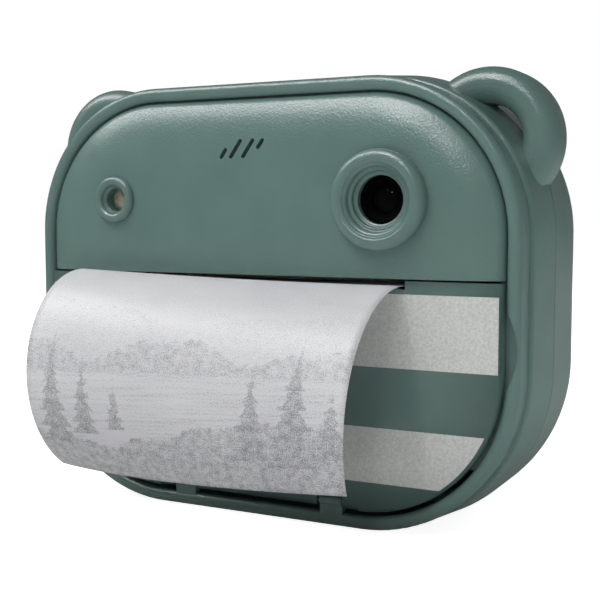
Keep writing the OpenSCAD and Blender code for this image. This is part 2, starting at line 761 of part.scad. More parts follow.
// Platen on its shaft, carried by the door's arms
module platen_roller() {
  color(dark) at_front() difference() {
    rod_x(paper_x0 - 0.2, paper_w + 0.4, platen_d, platen_z, platen_r);
    rod_x(-far, 2 * far, platen_d, platen_z, shaft_r + 0.02);
  }
}
module platen_shaft() {
  color(steel) at_front()
    rod_x(arm_x0 - 0.6, gear_x + gear_w + 0.8 - arm_x0, platen_d, platen_z, shaft_r);
}
module platen_gear() {
  color(gear_white) at_front() along_x(gear_x, gear_w) difference() {
    translate([platen_d, platen_z]) rotate(phi) gear_outline(platen_n);
    translate([platen_d, platen_z]) circle(shaft_r + 0.02);
  }
}
module platen_bushes() {
  color([0.75, 0.6, 0.3]) at_front() for (x0 = [arm_x0, arm_x1]) difference() {
    rod_x(x0, arm_t, platen_d, platen_z, bush_r - 0.02);
    rod_x(x0 - 1, arm_t + 2, platen_d, platen_z, shaft_r + run_gap);
  }
}

// Printed strip: over the platen, through the slot and down in a curl
module paper_strip() {
  color(paper_white) at_front() along_x(paper_x0, paper_w) {
    translate([0, curl_z]) ring_sector(curl_r - paper_t / 2, curl_r + paper_t / 2, 90, 180 + curl_past);
    translate([0, path_z - paper_t / 2]) square([platen_d, paper_t]);
    translate([platen_d, platen_z]) ring_sector(wrap_r - paper_t / 2, wrap_r + paper_t / 2, 0, 90);
    translate([nip_d - paper_t / 2, tail_z]) square([paper_t, platen_z - tail_z]);
  }
}
// Unwound stretch between the roll and the print head
module paper_web() {
  reach = norm([nip_d - roll_d, tail_z - 0.4 - roll_z]);
  touch = roll_r + paper_t / 2 + 0.05;
  web = sqrt(reach * reach - touch * touch);
  aim = atan2(tail_z - 0.4 - roll_z, nip_d - roll_d) + acos(touch / reach);
  color(paper_white) at_front() along_x(paper_x0, paper_w) translate([roll_d, roll_z]) rotate(aim)
    translate([touch - paper_t / 2, -web]) square([paper_t, web]);
}
module paper_roll() {
  color(paper_white) at_front() difference() {
    rod_x(paper_x0, paper_w, roll_d, roll_z, roll_r);
    rod_x(-far, 2 * far, roll_d, roll_z, core_r + 0.02);
  }
}
module roll_core() {
  color([0.72, 0.6, 0.45]) at_front() difference() {
    rod_x(paper_x0, paper_w, roll_d, roll_z, core_r);
    rod_x(-far, 2 * far, roll_d, roll_z, core_r - 1);
  }
}

// Drop-in paper bin with its side walls and the bar behind the print head
module bin_wall() {
  difference() {
    union() {
      intersection() {
        translate([roll_d, roll_z]) circle(bin_r + bin_t);
        translate([0, roll_z - bin_drop]) square([far, far]);
      }
      translate([head_d + 0.5, roll_z]) square([roll_d + bin_r - head_d - 2, bin_top - roll_z]);
    }
    translate([idler_d, idler_z]) circle(idler_pin_r + 0.02);
  }
}
module paper_bin() {
  color(dark) at_front() {
    difference() {
      along_x(bin_x0, bin_x1 - bin_x0) translate([roll_d, roll_z]) ring_sector(bin_r, bin_r + bin_t, -25, 50);
      key_sheet(pass_gap);
    }
    along_x(-trough_x, 2 * trough_x) translate([roll_d, roll_z]) ring_sector(bin_r, bin_r + bin_t, -150, -24);
    for (x0 = [-trough_x + 10, trough_x - 13])
      block(x0, x0 + 3, roll_d, roll_d + 4, floor_t + seat_gap, roll_z - bin_r - bin_t / 2 + 0.5);
    along_x(bin_x0, bin_t) bin_wall();
    along_x(bin_x1 - bin_t, bin_t) bin_wall();
    block(bin_x0, bin_x1, bar_d, bar_d + bar_t, bar_low, bin_top);
    for (p = post_spots) rod_x(bin_x1 - eps, plate_x - bin_x1 + eps, p[0], p[1], 1.4);
  }
}

// Print head, its heat sink and the leaf spring that presses it
module print_head() {
  color([0.85, 0.83, 0.78]) at_front()
    block(paper_x0 + 1, paper_x1 - 1, head_d, head_d + head_t, head_low, head_low + head_h);
}
module head_heatsink() {
  color(steel) at_front() block(paper_x0 + 1, paper_x1 - 1, head_d + head_t, head_d + head_t + sink_t,
    head_low - 0.4, head_low + head_h + 0.4);
}
module head_spring() {
  d0 = head_d + head_t + sink_t + 0.05;
  d1 = bar_d - 0.05;
  t = 0.35;
  mid = bar_low + 2.6;
  color(steel) at_front() along_x(paper_x - 9, 18)
    polygon([[d0, mid - 3], [d1 - t, mid - 1], [d1, mid - 1], [d1, mid + 1], [d1 - t, mid + 1], [d0, mid + 3],
      [d0, mid + 3 - 2 * t], [d1 - 2 * t, mid], [d0, mid - 3 + 2 * t]]);
}

// Gear train
module gear_plate() {
  color(steel) at_front() difference() {
    along_x(plate_x, plate_t) translate([motor_d, motor_z])
      polygon([[5.7, 13.4], [1.3, 13.4], [-6.9, 10], [-11, 1.2], [-11, -3.4],
        [-0.4 * motor_r, -0.95 * motor_r], [0.4 * motor_r, -0.95 * motor_r], [motor_r, 0]]);
    rod_x(0, far, motor_d, motor_z, motor_shaft_r + run_gap);
    rod_x(0, far, idler_d, idler_z, idler_pin_r + 0.02);
  }
}
module idler_gear() {
  color(gear_white) at_front() along_x(gear_x, gear_w) translate([idler_d, idler_z]) difference() {
    rotate(idler_turn) gear_outline(idler_n);
    circle(idler_pin_r + run_gap);
  }
}
module idler_pin() {
  color(steel) at_front()
    rod_x(bin_x1 - bin_t, plate_x + plate_t - bin_x1 + bin_t, idler_d, idler_z, idler_pin_r);
}
module feed_motor() {
  x0 = plate_x + plate_t;
  color(steel) at_front() {
    rod_x(x0, motor_l, motor_d, motor_z, motor_r);
    rod_x(x0 - plate_t - gear_w, plate_t + gear_w + 1, motor_d, motor_z, motor_shaft_r - 0.2);
  }
}
module motor_pinion() {
  color([0.75, 0.6, 0.3]) at_front() along_x(gear_x, gear_w) translate([motor_d, motor_z]) difference() {
    rotate(pinion_turn) gear_outline(pinion_n);
    circle(motor_shaft_r - 0.2 + run_gap);
  }
}

// Electronics
module battery() {
  color([0.55, 0.6, 0.65]) at_front() {
    block(-battery_half, battery_half, board_d - seat_gap - battery_t, board_d - seat_gap, battery_low,
      battery_high);
    for (z = [battery_low, battery_high])
      rod_x(-battery_half, 2 * battery_half, board_d - seat_gap - battery_t / 2, z, battery_r);
  }
}
module main_board() {
  color(board_green) at_front() difference() {
    block(-board_half, board_half, board_d, board_d + board_t, board_low, board_high);
    for (p = stand_spots) rod_y(board_d - 1, board_t + 2, p[0], p[1], 1);
  }
}
module board_screws() {
  color(steel) at_front() for (p = stand_spots) {
    rod_y(board_d - 1.2, 1.2, p[0], p[1], 1.7);
    rod_y(board_d - 0.5, 4.5, p[0], p[1], 0.75);
  }
}
module top_board() {
  z1 = face_top + wall_in - pass_gap - flange_t - shutter_travel - pass_gap - plunger_h - 2 * tact_h;
  color(board_green) at_front()
    block(shutter_x - 6, shutter_x + 6, shutter_d - 4.5, board_d - seat_gap, z1 - 1.2, z1);
}
module key_sheet(gap) {
  block(nav_x - key_near - gap, nav_x + key_off + gap, key_board_d - gap, key_board_d + key_board_t + gap,
    nav_z - key_under - gap, key_z + key_over + gap);
}
module key_board() {
  color(board_green) at_front() {
    key_sheet(0);
    for (p = [[nav_x - peg_x, nav_z - peg_low], [nav_x + peg_x, nav_z - peg_low], [nav_x, key_z + peg_high]])
      rod_y(key_board_d + key_board_t - eps, back_in - key_board_d - key_board_t, p[0], p[1], peg_r);
  }
}
module tact(x, z) {
  d0 = key_board_d + key_board_t;
  block(x - 1.5, x + 1.5, d0, d0 + tact_h, z - 1.5, z + 1.5);
  rod_y(d0, tact_h + plunger_h, x, z, 0.8);
}
module tact_switches() {
  z1 = face_top + wall_in - pass_gap - flange_t - shutter_travel - pass_gap - plunger_h - 2 * tact_h;
  color(steel) at_front() {
    for (k = nav_keys) tact(nav_x + k[1] * nav_step, nav_z + k[2] * nav_step);
    tact(nav_x, nav_z);
    for (side = [-1, 1]) tact(nav_x + side * key_step, key_z);
    block(shutter_x - 2.5, shutter_x + 2.5, shutter_d - 2.5, shutter_d + 2.5, z1, z1 + 2 * tact_h);
    translate([shutter_x, shutter_d, z1]) cylinder(h = 2 * tact_h + plunger_h, r = 1.2);
  }
}
module lcd_panel() {
  color(dark) at_front() along_y(back_in - seat_gap - lcd_t, lcd_t)
    translate([screen_x - screen_w / 2 + 1, screen_z - screen_h / 2 + 0.5])
      square([screen_w - 2, screen_h - 1]);
}
module screen_window() {
  color([0.05, 0.05, 0.06]) at_front() along_y(body_d - window_t - seat_gap / 2, window_t)
    rounded_rect(screen_w, screen_h, 3 - seat_gap);
}

// Keys with a retaining flange behind the wall
module key_cap(x, z, r) {
  f1 = back_in - pass_gap;
  color(green) at_front() turned_y(x, z) {
    polygon([[0, f1 - flange_t], [r + flange_w, f1 - flange_t], [r + flange_w, f1], [r, f1],
      [r, body_d + key_proud - 0.4], [r - 0.4, body_d + key_proud], [0, body_d + key_proud]]);
  }
}
module nav_key(i) {
  key_cap(nav_x + nav_keys[i][1] * nav_step, nav_z + nav_keys[i][2] * nav_step, nav_r);
}
module nav_up() { nav_key(0); }
module nav_down() { nav_key(1); }
module nav_left() { nav_key(2); }
module nav_right() { nav_key(3); }
module ok_button() { key_cap(nav_x, nav_z, ok_r); }
module power_button() { key_cap(nav_x - key_step, key_z, key_r); }
module play_button() { key_cap(nav_x + key_step, key_z, key_r); }
module shutter_button() {
  z0 = face_top + wall_in - pass_gap;
  z1 = face_top + back_out + shutter_proud;
  color(pale) at_front() translate([shutter_x, shutter_d, 0]) rotate_extrude()
    polygon([[0, z0 - flange_t], [shutter_r + flange_w, z0 - flange_t], [shutter_r + flange_w, z0],
      [shutter_r, z0], [shutter_r, z1 - 0.5], [shutter_r - 0.5, z1], [0, z1]]);
}

// Port cover and sockets on the left side
module port_cover() {
  r = port_t / 2;
  color(green) at_front() {
    block(-port_x, -port_x + port_t, port_d, port_d + port_w, port_z + r, port_z + port_h);
    rod_y(port_d, port_w, -port_x + r, port_z + r, r);
    rod_y(port_d + 1.5, port_w - 3, -port_x + 0.15, port_z + port_h - 1, 0.5);
  }
}
module usb_shape(gap, out) {
  z0 = port_z + (port_h - usb_h) / 2;
  block(-port_x - out, -pocket_x + socket_l, port_d + usb_d - gap, port_d + usb_d + usb_t + gap, z0 - gap,
    z0 + usb_h + gap);
}
module card_shape(gap, out) {
  z0 = port_z + (port_h - card_h) / 2;
  block(-port_x - out, -pocket_x + socket_l, port_d + card_d - gap, port_d + card_d + card_t + gap, z0 - gap,
    z0 + card_h + gap);
}
module usb_socket() {
  color(steel) at_front() difference() {
    usb_shape(0, 0);
    block(-far, -pocket_x + 0.1, -far, far, -far, far);
    block(-far, -pocket_x + socket_mouth, port_d + 0.8, port_d + 2.7, port_z + 2.4, port_z + port_h - 2.4);
  }
}
module card_socket() {
  color(steel) at_front() difference() {
    card_shape(0, 0);
    block(-far, -pocket_x + 0.1, -far, far, -far, far);
    block(-far, -pocket_x + socket_mouth, port_d + 5.1, port_d + 5.8, port_z + 1, port_z + port_h - 1);
  }
}
module io_board() {
  color(board_green) at_front()
    block(-pocket_x + 1.9, bin_x0 - seat_gap, port_d + io_d, port_d + io_d + io_t, port_z - 1,
      port_z + port_h + 1);
}
module case_screws() {
  color(steel) at_front() for (p = screw_spots) {
    rod_y(bore_floor, 1.4, p[0], p[1], bore_r - 0.3);
    rod_y(6, bore_floor - 6 + eps, p[0], p[1], screw_r);
  }
}

front_shell();
face_panel();
back_shell();
ear_left();
ear_right();
paper_door();
door_stripe_upper();
door_stripe_lower();
tear_bar();
hinge_pin();
platen_roller();
platen_shaft();
platen_gear();
platen_bushes();
paper_strip();
paper_web();
paper_roll();
roll_core();
paper_bin();
print_head();
head_heatsink();
head_spring();
gear_plate();
idler_gear();
idler_pin();
feed_motor();
motor_pinion();
lens_ring();
lens_barrel();
lens_glass();
sensor_board();
flash_bezel();
flash_lens();
flash_led();
speaker();
battery();
main_board();
top_board();
key_board();
io_board();
tact_switches();
lcd_panel();
screen_window();
shutter_button();
nav_up();
nav_down();
nav_left();
nav_right();
ok_button();
power_button();
play_button();
port_cover();
usb_socket();
card_socket();
case_screws();
board_screws();
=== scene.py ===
import math

import bmesh
import bpy
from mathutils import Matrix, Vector


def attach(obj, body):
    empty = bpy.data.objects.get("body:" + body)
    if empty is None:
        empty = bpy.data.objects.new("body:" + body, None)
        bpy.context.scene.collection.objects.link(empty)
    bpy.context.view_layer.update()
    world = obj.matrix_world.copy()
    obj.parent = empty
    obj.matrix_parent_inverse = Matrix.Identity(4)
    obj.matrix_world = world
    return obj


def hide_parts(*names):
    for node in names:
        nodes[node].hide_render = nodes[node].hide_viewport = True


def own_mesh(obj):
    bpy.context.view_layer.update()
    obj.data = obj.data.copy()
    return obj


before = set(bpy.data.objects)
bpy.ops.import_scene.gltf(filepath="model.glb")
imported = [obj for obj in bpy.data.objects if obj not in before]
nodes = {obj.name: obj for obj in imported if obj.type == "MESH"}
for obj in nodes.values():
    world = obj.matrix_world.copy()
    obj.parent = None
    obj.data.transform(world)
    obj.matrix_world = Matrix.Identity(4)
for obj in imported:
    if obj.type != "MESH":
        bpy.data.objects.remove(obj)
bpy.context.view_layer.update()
mm = 0.001
frontY = -14.5 * mm  # the door's face in the shared frame
weldWithin = 1e-7
white = (1, 1, 1, 1)
print("frame loaded:", len(nodes), "nodes")

scene = bpy.context.scene
scene.view_settings.view_transform = "Standard"


# small helpers
def link(obj):
    scene.collection.objects.link(obj)
    return obj


def meshFrom(bm, name):
    bmesh.ops.remove_doubles(bm, verts=bm.verts, dist=weldWithin)
    mesh = bpy.data.meshes.new(name)
    bm.to_mesh(mesh)
    bm.free()
    for poly in mesh.polygons:
        poly.use_smooth = True
    return link(bpy.data.objects.new(name, mesh))


def addNode(tree, kind, **values):
    made = tree.nodes.new(kind)
    for key, value in values.items():
        setattr(made, key, value)
    return made


def feed(tree, target, value):
    if hasattr(value, "links"):
        tree.links.new(value, target)
    else:
        target.default_value = value


def calc(tree, op, a, b=0.0, c=0.0):
    made = addNode(tree, "ShaderNodeMath", operation=op)
    for i, value in enumerate((a, b, c)):
        feed(tree, made.inputs[i], value)
    return made.outputs[0]


def blendColor(tree, factor, a, b):
    made = addNode(tree, "ShaderNodeMix", data_type="RGBA")
    feed(tree, made.inputs["Factor"], factor)
    feed(tree, made.inputs[6], a)
    feed(tree, made.inputs[7], b)
    return made.outputs[2]


def span(tree, value, lowIn, highIn, lowOut, highOut):
    made = addNode(tree, "ShaderNodeMapRange")
    feed(tree, made.inputs[0], value)
    for i, number in enumerate((lowIn, highIn, lowOut, highOut)):
        made.inputs[i + 1].default_value = number
    return made.outputs[0]


def fromNoise(tree, noise, low, high):
    return span(tree, noise, 0.3, 0.7, low, high)  # a noise keeps mostly within 0.3 to 0.7


def objectAxes(tree):
    split = addNode(tree, "ShaderNodeSeparateXYZ")
    tree.links.new(addNode(tree, "ShaderNodeTexCoord").outputs["Object"], split.inputs[0])
    return split.outputs


def distance(tree, a, b):
    return calc(tree, "SQRT", calc(tree, "MULTIPLY_ADD", a, a, calc(tree, "MULTIPLY", b, b)))


def newGroup(name, takes, gives):
    group = bpy.data.node_groups.new(name, "ShaderNodeTree")
    for way, sockets in (("INPUT", takes), ("OUTPUT", gives)):
        for socket in sockets:
            group.interface.new_socket(socket, in_out=way, socket_type="NodeSocketFloat")
    return group, addNode(group, "NodeGroupInput"), addNode(group, "NodeGroupOutput")


def newMaterial(name):
    mat = bpy.data.materials.new(name)
    mat.use_nodes = True
    return mat, mat.node_tree, mat.node_tree.nodes["Principled BSDF"]


def addBump(tree, height, depth, strength=1.0):
    lift = addNode(tree, "ShaderNodeBump")
    lift.inputs["Strength"].default_value = strength
    lift.inputs["Distance"].default_value = depth
    tree.links.new(height, lift.inputs["Height"])
    return lift


# shared surface effects
grainPart = {"details": (2.0, 3.0, 4.0), "smudge": 45.0}


def makeGrainGroup():
    group, enter, leave = newGroup("mouldedGrain", ("Fine", "Coarse"), ("Height", "Tone", "Smudge"))
    where = addNode(group, "ShaderNodeTexCoord").outputs["Object"]
    fine = addNode(group, "ShaderNodeTexNoise")
    coarse = addNode(group, "ShaderNodeTexNoise")
    smudge = addNode(group, "ShaderNodeTexNoise")
    for tex, detail in zip((fine, coarse, smudge), grainPart["details"]):
        group.links.new(where, tex.inputs["Vector"])
        tex.inputs["Detail"].default_value = detail
    group.links.new(enter.outputs["Fine"], fine.inputs["Scale"])
    group.links.new(enter.outputs["Coarse"], coarse.inputs["Scale"])
    smudge.inputs["Scale"].default_value = grainPart["smudge"]
    for tex, socket in ((fine, "Height"), (coarse, "Tone"), (smudge, "Smudge")):
        group.links.new(tex.outputs[0], leave.inputs[socket])
    return group


# height of a front that rolls back towards the rim, by the distance from its rounded outline
frontPart = {"straightX": 19.5, "highZ": 46.9, "lowZ": 25.5, "corner": 23.0, "steep": 3.0}


def makePillowGroup():
    g, enter, leave = newGroup("pillowFront", ("Reach", "Gain"), ("Height",))
    x, _, z = objectAxes(g)
    side = calc(g, "SUBTRACT", calc(g, "ABSOLUTE", x), frontPart["straightX"] * mm)
    over = calc(g, "SUBTRACT", z, frontPart["highZ"] * mm)
    under = calc(g, "SUBTRACT", frontPart["lowZ"] * mm, z)
    rise = calc(g, "MAXIMUM", calc(g, "MAXIMUM", over, under), 0.0)
    far = distance(g, calc(g, "MAXIMUM", side, 0.0), rise)
    inward = calc(g, "SUBTRACT", frontPart["corner"] * mm, far)
    past = calc(g, "MAXIMUM", calc(g, "SUBTRACT", enter.outputs["Reach"], inward), 0.0)
    drop = calc(g, "MULTIPLY", calc(g, "POWER", past, frontPart["steep"]), enter.outputs["Gain"])
    g.links.new(calc(g, "MULTIPLY", drop, -1.0), leave.inputs["Height"])
    return g


grainGroup = makeGrainGroup()
pillowGroup = makePillowGroup()

# fine turned ridges on the cone inside the lens ring
ridgePart = {"x": 23.0, "z": 52.9, "inner": 4.1, "outer": 6.4, "pitch": 0.62, "depth": 0.05,
             "startOver": 0.1, "fadeOver": 0.4}


def ridgeHeight(tree, p):
    x, _, z = objectAxes(tree)
    far = distance(tree, calc(tree, "SUBTRACT", x, p["x"] * mm), calc(tree, "SUBTRACT", z, p["z"] * mm))
    wave = calc(tree, "SINE", calc(tree, "MULTIPLY", far, math.tau / (p["pitch"] * mm)))
    past = span(tree, far, (p["inner"] - p["startOver"]) * mm, p["inner"] * mm, 0.0, p["depth"] * mm)
    inside = span(tree, far, (p["outer"] - p["fadeOver"]) * mm, p["outer"] * mm, 1.0, 0.0)
    return calc(tree, "MULTIPLY", wave, calc(tree, "MULTIPLY", past, inside))


def placeGrain(tree, fine=0.0, coarse=0.0):
    grain = addNode(tree, "ShaderNodeGroup", node_tree=grainGroup)
    grain.inputs["Fine"].default_value = fine
    grain.inputs["Coarse"].default_value = coarse
    return grain.outputs


def grainMaterial(name, dark, light, rough, fine=3500.0, coarse=120.0, bump=0.12, depth=0.06,
                  pillow=None, ridges=None, **sockets):
    mat, tree, shader = newMaterial(name)
    grain = placeGrain(tree, fine, coarse)
    tone = fromNoise(tree, grain["Tone"], 0.0, 1.0)
    feed(tree, shader.inputs["Base Color"], blendColor(tree, tone, (*dark, 1), (*light, 1)))
    feed(tree, shader.inputs["Roughness"], fromNoise(tree, grain["Smudge"], *rough))
    lift = addBump(tree, grain["Height"], depth * mm, bump)
    tree.links.new(lift.outputs[0], shader.inputs["Normal"])
    if pillow or ridges:  # a larger form under the grain, its height in metres
        if pillow:
            front = addNode(tree, "ShaderNodeGroup", node_tree=pillowGroup)
            front.inputs["Reach"].default_value, front.inputs["Gain"].default_value = pillow
            height = front.outputs["Height"]
        else:
            height = ridgeHeight(tree, ridges)
        tree.links.new(addBump(tree, height, 1.0).outputs[0], lift.inputs["Normal"])
    for key, value in sockets.items():
        shader.inputs[key.replace("_", " ")].default_value = value
    return mat


def grey(level):
    return (level, level, level)


greenTones = ((0.104, 0.178, 0.160), (0.116, 0.195, 0.176), (0.18, 0.25))
greenFinish = {"bump": 0.9, "Specular_IOR_Level": 0.7}
casePlastic = grainMaterial("casePlastic", *greenTones, **greenFinish)
facePlastic = grainMaterial("facePlastic", *greenTones, pillow=(0.0105, 750.0), **greenFinish)
doorPlastic = grainMaterial("doorPlastic", *greenTones, pillow=(0.018, 1700.0), **greenFinish)
ringPlastic = grainMaterial("ringPlastic", *greenTones, ridges=ridgePart, **greenFinish)
lensBlack = grainMaterial("lensBlack", grey(0.0006), grey(0.0012), (0.75, 0.9), Specular_IOR_Level=0.04)
blackPlastic = grainMaterial("blackPlastic", grey(0.003), grey(0.006), (0.55, 0.7), Specular_IOR_Level=0.2)
rollerRubber = grainMaterial("rollerRubber", grey(0.012), grey(0.02), (0.7, 0.85), bump=0.4)
gearPlastic = grainMaterial("gearPlastic", (0.68, 0.66, 0.58), (0.76, 0.74, 0.67), (0.3, 0.42))
plainSteel = grainMaterial("plainSteel", (0.42, 0.43, 0.45), (0.52, 0.53, 0.55), (0.28, 0.42), Metallic=1.0)
brushedAluminium = grainMaterial("brushedAluminium", (0.55, 0.56, 0.58), (0.66, 0.67, 0.69), (0.3, 0.45),
                                 Metallic=1.0)
bushBrass = grainMaterial("bushBrass", (0.50, 0.33, 0.12), (0.60, 0.42, 0.17), (0.25, 0.4), Metallic=1.0)
boardMask = grainMaterial("boardMask", (0.006, 0.06, 0.025), (0.012, 0.09, 0.04), (0.2, 0.35))
headCeramic = grainMaterial("headCeramic", (0.66, 0.62, 0.53), (0.74, 0.70, 0.62), (0.25, 0.4))
coreCard = grainMaterial("coreCard", (0.33, 0.22, 0.12), (0.42, 0.30, 0.18), (0.8, 0.95), bump=0.5)
screenGlass = grainMaterial("screenGlass", (0.004, 0.004, 0.006), (0.008, 0.008, 0.010), (0.05, 0.12), bump=0.0)
lensGlass = grainMaterial("lensGlass", grey(0.002), grey(0.004), (0.04, 0.08), bump=0.0, Specular_IOR_Level=0.04)
flashClear = grainMaterial("flashClear", (0.15, 0.135, 0.095), (0.38, 0.35, 0.28), (0.1, 0.2), coarse=900.0)
stripePale = grainMaterial("stripePale", (0.51, 0.525, 0.508), (0.665, 0.68, 0.663), (0.45, 0.55),
                           fine=2600.0, coarse=2600.0, bump=1.0, pillow=(0.018, 400.0))
rollPaper = grainMaterial("rollPaper", (0.70, 0.70, 0.72), (0.78, 0.78, 0.80), (0.7, 0.85))

# the wound roll shows its turns as rings on both ends
rollPart = {"depth": 18.5, "height": 18.9, "radius": 12.6, "skin": 0.1, "pitch": 0.42, "waver": 3.0, "relief": 0.05,
            "rough": 0.8, "dark": (0.50, 0.50, 0.51, 1), "light": (0.76, 0.76, 0.78, 1)}


def makeRollMaterial():
    r = rollPart
    mat, tree, shader = newMaterial("rollWound")
    shader.inputs["Roughness"].default_value = r["rough"]
    _, y, z = objectAxes(tree)
    deep = calc(tree, "SUBTRACT", y, frontY + r["depth"] * mm)
    far = distance(tree, deep, calc(tree, "SUBTRACT", z, r["height"] * mm))
    waver = calc(tree, "MULTIPLY", placeGrain(tree)["Smudge"], r["waver"])
    turns = calc(tree, "MULTIPLY_ADD", far, math.tau / (r["pitch"] * mm), waver)
    ring = span(tree, calc(tree, "SINE", turns), -1.0, 1.0, 0.0, 1.0)
    side = span(tree, far, (r["radius"] - r["skin"]) * mm, r["radius"] * mm, 0.0, 1.0)
    tone = calc(tree, "MAXIMUM", ring, side)
    feed(tree, shader.inputs["Base Color"], blendColor(tree, tone, r["dark"], r["light"]))
    tree.links.new(addBump(tree, tone, r["relief"] * mm).outputs[0], shader.inputs["Normal"])
    return mat


rollWound = makeRollMaterial()

finishes = {
    casePlastic: "front_shell back_shell ear_left ear_right tear_bar flash_bezel nav_up nav_down nav_left "
                 "nav_right ok_button power_button play_button port_cover",
    facePlastic: "face_panel",
    doorPlastic: "paper_door",
    ringPlastic: "lens_ring",
    stripePale: "door_stripe_upper door_stripe_lower shutter_button",
    lensBlack: "lens_barrel",
    lensGlass: "lens_glass",
    flashClear: "flash_lens flash_led",
    screenGlass: "screen_window",
    blackPlastic: "paper_bin speaker lcd_panel",
    plainSteel: "hinge_pin platen_shaft head_spring gear_plate idler_pin feed_motor tact_switches usb_socket "
                "card_socket case_screws board_screws",
    brushedAluminium: "head_heatsink battery",
    rollerRubber: "platen_roller",
    bushBrass: "platen_bushes motor_pinion",
    gearPlastic: "platen_gear idler_gear",
    rollPaper: "paper_web paper_strip",
    rollWound: "paper_roll",
    coreCard: "roll_core",
    headCeramic: "print_head",
    boardMask: "sensor_board main_board top_board key_board io_board",
}
for mat, names in finishes.items():
    for name in names.split():
        nodes[name].data.materials.clear()
        nodes[name].data.materials.append(mat)
print("finishes set:", len(finishes))

# printed paper
paperPart = {"left": -30.8, "right": 26.2, "slotZ": 39.65, "thick": 0.12, "columns": 48, "rows": 64, "steps": 40,
             "leftLength": 49.8, "leftStart": -0.524, "leftBend": (0.0892, 0.0551, 0.0457),
             "rightLength": 40.4, "rightStart": 0.0, "rightBend": (0.0476, 0.0476, 0.0476)}


def paperPoint(across, d, z):
    x = paperPart["left"] + (paperPart["right"] - paperPart["left"]) * across
    return Vector((x * mm, frontY + d * mm, z * mm))


def finishPaper(bm, name):
    bmesh.ops.recalc_face_normals(bm, faces=bm.faces)
    obj = meshFrom(bm, name)
    wall = obj.modifiers.new("thickness", "SOLIDIFY")
    wall.thickness = paperPart["thick"] * mm
    wall.offset = 0.0
    return obj


def curlPoint(across, along):
    p = paperPart

    def between(left, right):
        return left + (right - left) * across

    length = between(p["leftLength"], p["rightLength"])
    early, middle, late = (between(left, right) for left, right in zip(p["leftBend"], p["rightBend"]))
    angle = between(p["leftStart"], p["rightStart"])
    d, z = 0.0, p["slotZ"]
    step = length * along / p["steps"]
    for i in range(p["steps"]):
        part = 2 * (i + 0.5) / p["steps"] * along
        bend = early + (middle - early) * part if part < 1 else middle + (late - middle) * (part - 1)
        angle += step * bend / 2
        d -= math.cos(angle) * step
        z -= math.sin(angle) * step
        angle += step * bend / 2
    return paperPoint(across, d, z)


def makeCurl():
    bm = bmesh.new()
    bm.loops.layers.uv.new("print")
    bmesh.ops.create_grid(bm, x_segments=paperPart["columns"], y_segments=paperPart["rows"], size=0.5, calc_uvs=True)
    for v in bm.verts:
        v.co = curlPoint(v.co.x + 0.5, 0.5 - v.co.y)
    return finishPaper(bm, "paperCurl")


# a plain landscape in print dots: clouds, two ridges, a lake and a near bank with firs
# places run from 0 to 1 across and up the strip; a noise has its scale across, its scale up and its detail
# a ridge has its base, the height and scale of two waves and their start
# a fir has its place across, its foot, its height and its reach
printPart = {"farRidge": (0.62, 0.045, 1.3, 0.020, 3.1, 0.6), "farTone": (0.20, 0.36),
             "midRidge": (0.49, 0.038, 1.9, 0.016, 4.3, 2.1), "midTone": (0.28, 0.60),
             "bank": (0.20, 0.050, 0.9, 0.014, 5.3, 3.4), "bankTone": (0.34, 0.70), "waveShift": 2.3,
             "skyNoise": (3.0, 6.5, 4.0), "skyRange": (0.38, 0.72), "skyTone": (0.04, 0.34),
             "lakeNoise": (5.0, 80.0, 3.0), "lakeRange": (0.35, 0.68), "lakeTone": (0.10, 0.42), "shore": 0.40,
             "leafNoise": (46.0, 36.0, 4.0), "edgeLeaf": 0.010, "edgeBlur": 0.006,
             "firs": ((0.09, 0.15, 0.36, 0.075), (0.20, 0.19, 0.25, 0.052), (0.31, 0.21, 0.17, 0.036),
                      (0.74, 0.12, 0.30, 0.064), (0.86, 0.10, 0.40, 0.080), (0.965, 0.13, 0.24, 0.050)),
             "firTone": (0.46, 0.78), "firLeaf": 0.012, "firBlur": 0.004, "tiers": 6.0, "tierCut": 0.5,
             "dotNoise": (57.0 * 5.2, 42.0 * 5.2, 1.0), "dotRange": (0.25, 0.75), "dotBlur": 0.30,
             "inkGain": 0.7, "inkLow": 0.30}


